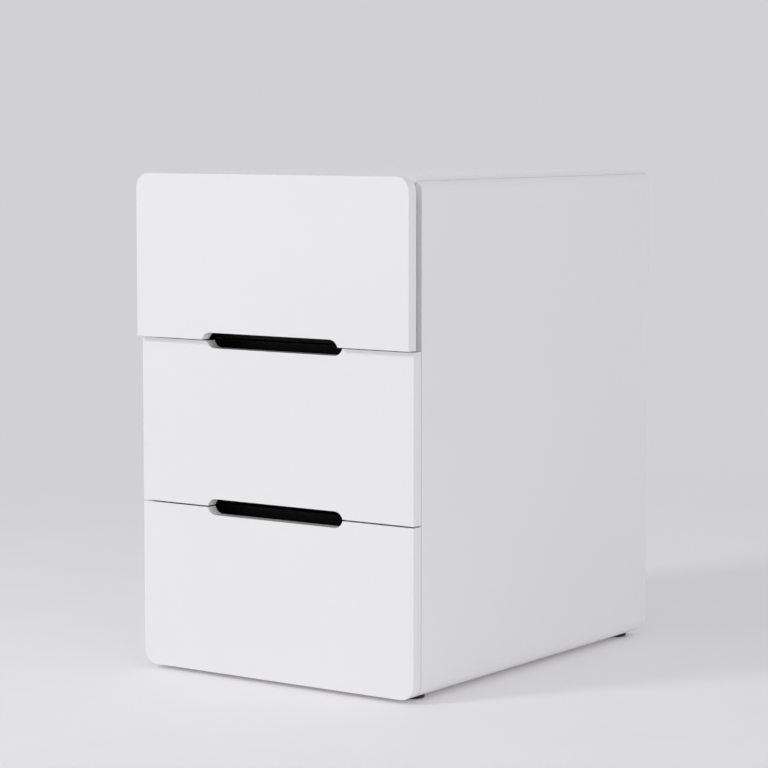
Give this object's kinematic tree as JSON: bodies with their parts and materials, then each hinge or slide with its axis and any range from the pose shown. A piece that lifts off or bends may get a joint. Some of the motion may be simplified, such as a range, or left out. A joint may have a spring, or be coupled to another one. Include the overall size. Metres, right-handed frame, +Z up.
{
  "type": "under desk drawer",
  "caption": "White gloss under desk pedestal with stacked handleless drawers on ball runners, rounded long edges and black-lined finger slots.",
  "frame": {"origin": "on the floor, under the middle of the object's box as stored, with the top drawer 10 mm open", "axes": "+Z up, +X to the right seen from the drawer fronts, -Y the way the fronts face and the drawers open"},
  "size_m": [0.4, 0.5422, 0.605],
  "materials": {
    "white_lacquer": "fibreboard with high-gloss white lacquer",
    "drawer_board": "board with satin pale grey-white melamine",
    "black_channel": "satin black moulded plastic",
    "black_plastic_glide": "black nylon",
    "runner_steel": "zinc-plated cold-rolled steel",
    "zinc_insert": "zinc-plated threaded insert"
  },
  "bodies": {
    "carcass": {"top_panel": "white_lacquer", "bottom_panel": "white_lacquer", "left_side_panel": "white_lacquer", "right_side_panel": "white_lacquer", "back_panel": "white_lacquer", "front_left_glide": "black_plastic_glide", "rear_left_glide": "black_plastic_glide", "front_right_glide": "black_plastic_glide", "rear_right_glide": "black_plastic_glide", "desk_insert_1": "zinc_insert", "desk_insert_2": "zinc_insert", "desk_insert_3": "zinc_insert", "desk_insert_4": "zinc_insert", "bottom_left_runner_cabinet_rail": "runner_steel", "bottom_right_runner_cabinet_rail": "runner_steel", "middle_left_runner_cabinet_rail": "runner_steel", "middle_right_runner_cabinet_rail": "runner_steel", "top_left_runner_cabinet_rail": "runner_steel", "top_right_runner_cabinet_rail": "runner_steel"},
    "bottom_drawer": {"bottom_front": "white_lacquer", "bottom_upper_finger_channel": "black_channel", "bottom_box_left_side": "drawer_board", "bottom_box_right_side": "drawer_board", "bottom_box_front": "drawer_board", "bottom_box_back": "drawer_board", "bottom_box_floor": "drawer_board", "bottom_left_runner_drawer_rail": "runner_steel", "bottom_right_runner_drawer_rail": "runner_steel"},
    "middle_drawer": {"middle_front": "white_lacquer", "middle_lower_finger_channel": "black_channel", "middle_upper_finger_channel": "black_channel", "middle_box_left_side": "drawer_board", "middle_box_right_side": "drawer_board", "middle_box_front": "drawer_board", "middle_box_back": "drawer_board", "middle_box_floor": "drawer_board", "middle_left_runner_drawer_rail": "runner_steel", "middle_right_runner_drawer_rail": "runner_steel"},
    "top_drawer": {"top_front": "white_lacquer", "top_lower_finger_channel": "black_channel", "top_box_left_side": "drawer_board", "top_box_right_side": "drawer_board", "top_box_front": "drawer_board", "top_box_back": "drawer_board", "top_box_floor": "drawer_board", "top_left_runner_drawer_rail": "runner_steel", "top_right_runner_drawer_rail": "runner_steel"},
    "bottom_runner_middle": {"bottom_left_runner_middle_rail": "runner_steel", "bottom_right_runner_middle_rail": "runner_steel"},
    "middle_runner_middle": {"middle_left_runner_middle_rail": "runner_steel", "middle_right_runner_middle_rail": "runner_steel"},
    "top_runner_middle": {"top_left_runner_middle_rail": "runner_steel", "top_right_runner_middle_rail": "runner_steel"}
  },
  "joints": [
    {"name": "bottom_drawer_slide", "type": "slide", "parent": "carcass", "child": "bottom_drawer", "axis": [0, -1, 0], "range_m": [0, 0.4]},
    {"name": "bottom_runner_slide", "type": "slide", "parent": "carcass", "child": "bottom_runner_middle", "axis": [0, -1, 0], "range_m": [0, 0.2]},
    {"name": "middle_drawer_slide", "type": "slide", "parent": "carcass", "child": "middle_drawer", "axis": [0, -1, 0], "range_m": [0, 0.4]},
    {"name": "middle_runner_slide", "type": "slide", "parent": "carcass", "child": "middle_runner_middle", "axis": [0, -1, 0], "range_m": [0, 0.2]},
    {"name": "top_drawer_slide", "type": "slide", "parent": "carcass", "child": "top_drawer", "axis": [0, -1, 0], "range_m": [-0.01, 0.39]},
    {"name": "top_runner_slide", "type": "slide", "parent": "carcass", "child": "top_runner_middle", "axis": [0, -1, 0], "range_m": [-0.005, 0.195]}
  ],
  "couplings": [
    {"joint": "bottom_runner_slide", "follows": "bottom_drawer_slide", "ratio": 0.5},
    {"joint": "middle_runner_slide", "follows": "middle_drawer_slide", "ratio": 0.5},
    {"joint": "top_runner_slide", "follows": "top_drawer_slide", "ratio": 0.5}
  ]
}
